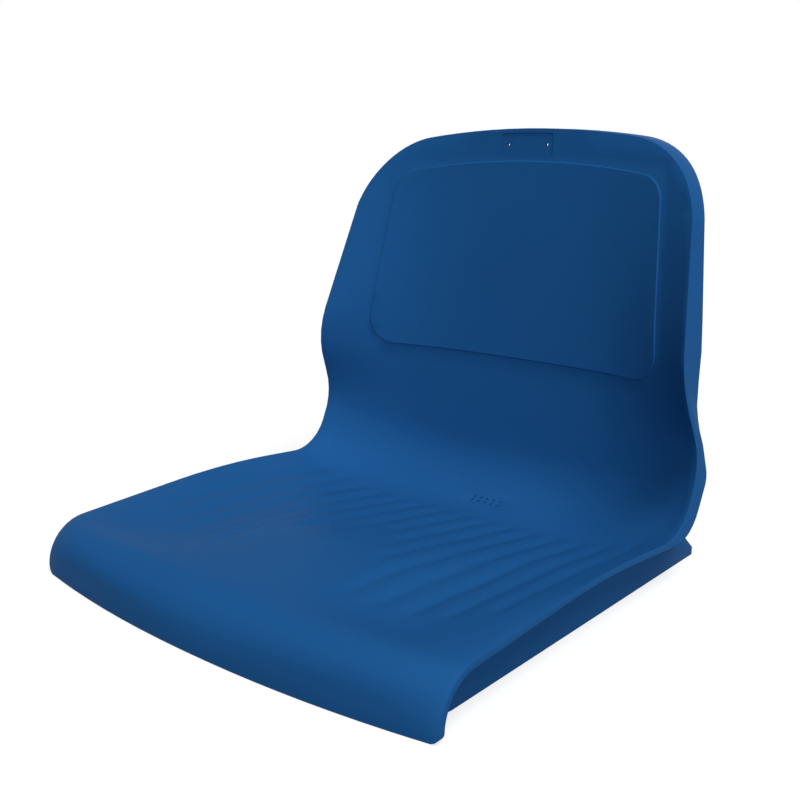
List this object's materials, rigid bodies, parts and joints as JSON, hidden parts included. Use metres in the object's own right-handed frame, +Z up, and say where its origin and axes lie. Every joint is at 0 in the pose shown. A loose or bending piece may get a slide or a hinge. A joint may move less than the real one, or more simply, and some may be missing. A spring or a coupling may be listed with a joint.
{
  "type": "stadium seat",
  "caption": "Moulded plastic bucket seat with a low back and rolled front edge, on a ribbed base with threaded inserts for bolting down from below.",
  "frame": {"origin": "centre of the mounting pattern, on the mounting plane under the middle of the seat", "axes": "+Z up, -Y is the way the sitter faces, X across the seat"},
  "size_m": [0.427, 0.4485, 0.3745],
  "materials": {
    "shell_plastic": "satin",
    "base_plastic": "satin",
    "insert_brass": "turned",
    "screw_steel": "zinc plated"
  },
  "bodies": {
    "root": {"seat_shell": "shell_plastic", "base_frame": "base_plastic", "threaded_inserts": "insert_brass", "shell_screws": "screw_steel"}
  },
  "joints": []
}
